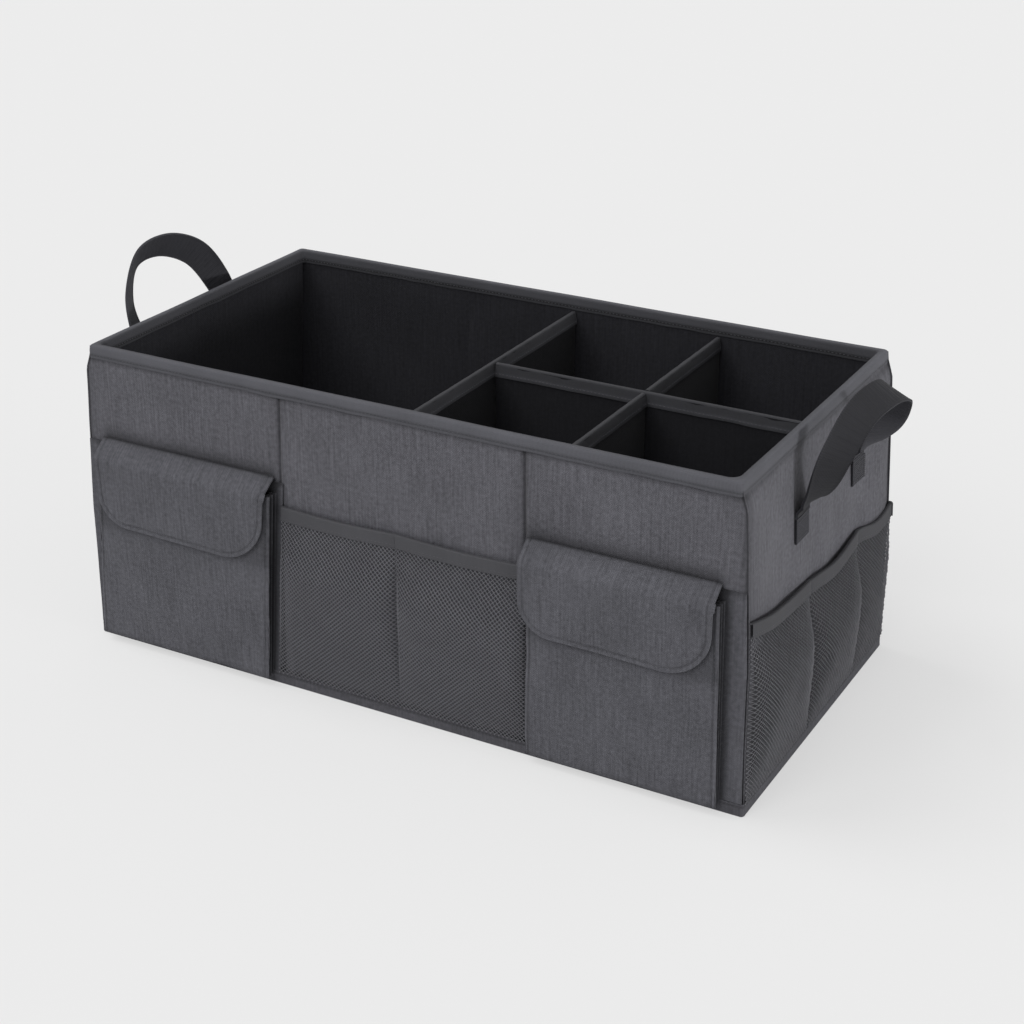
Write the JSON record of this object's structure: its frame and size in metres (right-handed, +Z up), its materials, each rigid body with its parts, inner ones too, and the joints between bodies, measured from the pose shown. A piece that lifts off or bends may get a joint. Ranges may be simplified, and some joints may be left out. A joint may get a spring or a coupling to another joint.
{
  "type": "car trunk organizer",
  "caption": "Boxy cloth car trunk organizer with a divided interior, front pockets under flaps, net pockets and a webbing handle at each end.",
  "frame": {"origin": "centre of the underside of the base, on the surface that it stands on", "axes": "+X along the length towards the end with the net pockets, the front with the flap pockets faces -Y, +Z up"},
  "size_m": [0.6733, 0.3187, 0.319],
  "materials": {
    "outer_cloth": "dark grey woven polyester cloth, matt",
    "pocket_cloth": "dark grey woven polyester cloth, matt",
    "lining_cloth": "black non-woven lining, matt",
    "board": "grey-brown pressed board, hidden inside the walls",
    "binding_tape": "ribbed binding tape with a stitched edge",
    "net_binding": "narrow elastic binding",
    "net": "fine dark knitted net",
    "webbing": "dark ribbed polypropylene webbing",
    "hook_and_loop": "black hook-and-loop tape"
  },
  "bodies": {
    "organizer": {"base_cloth": "outer_cloth", "front_cloth": "outer_cloth", "back_cloth": "outer_cloth", "left_end_cloth": "outer_cloth", "right_end_cloth": "outer_cloth", "left_pocket_backing": "pocket_cloth", "left_pocket_gusset": "pocket_cloth", "left_pocket_face": "pocket_cloth", "right_pocket_backing": "pocket_cloth", "right_pocket_gusset": "pocket_cloth", "right_pocket_face": "pocket_cloth", "base_lining": "lining_cloth", "front_lining": "lining_cloth", "back_lining": "lining_cloth", "left_end_lining": "lining_cloth", "right_end_lining": "lining_cloth", "main_divider": "lining_cloth", "long_divider": "lining_cloth", "front_short_divider": "lining_cloth", "back_short_divider": "lining_cloth", "base_board": "board", "front_board_left": "board", "front_board_middle": "board", "front_board_right": "board", "back_board_left": "board", "back_board_middle": "board", "back_board_right": "board", "left_end_board": "board", "right_end_board": "board", "rim_binding": "binding_tape", "main_divider_binding": "binding_tape", "long_divider_binding": "binding_tape", "front_short_divider_binding": "binding_tape", "back_short_divider_binding": "binding_tape", "front_net_binding": "net_binding", "end_net_binding": "net_binding", "front_net": "net", "end_net": "net", "left_handle_front_end": "webbing", "left_handle_back_end": "webbing", "right_handle_front_end": "webbing", "right_handle_back_end": "webbing", "left_pocket_loop_patch": "hook_and_loop", "right_pocket_loop_patch": "hook_and_loop"},
    "left_flap": {"left_flap": "pocket_cloth", "left_flap_hook_patch": "hook_and_loop"},
    "right_flap": {"right_flap": "pocket_cloth", "right_flap_hook_patch": "hook_and_loop"},
    "left_handle": {"left_handle": "webbing"},
    "right_handle": {"right_handle": "webbing"}
  },
  "joints": [
    {"name": "left_flap_hinge", "type": "hinge", "parent": "organizer", "child": "left_flap", "pos_m": [-0.1915, -0.1514, 0.187], "axis": [-1, 0, 0], "range_deg": [0, 120]},
    {"name": "right_flap_hinge", "type": "hinge", "parent": "organizer", "child": "right_flap", "pos_m": [0.201, -0.1514, 0.187], "axis": [-1, 0, 0], "range_deg": [0, 120]},
    {"name": "left_handle_hinge", "type": "hinge", "parent": "organizer", "child": "left_handle", "pos_m": [-0.29009, 0.002, 0.1983], "axis": [0, -1, 0], "range_deg": [-3, 120], "stiffness_Nm_per_rad": 0.05},
    {"name": "right_handle_hinge", "type": "hinge", "parent": "organizer", "child": "right_handle", "pos_m": [0.29009, 0.022, 0.1983], "axis": [0, 1, 0], "range_deg": [-3, 120], "stiffness_Nm_per_rad": 0.05}
  ]
}
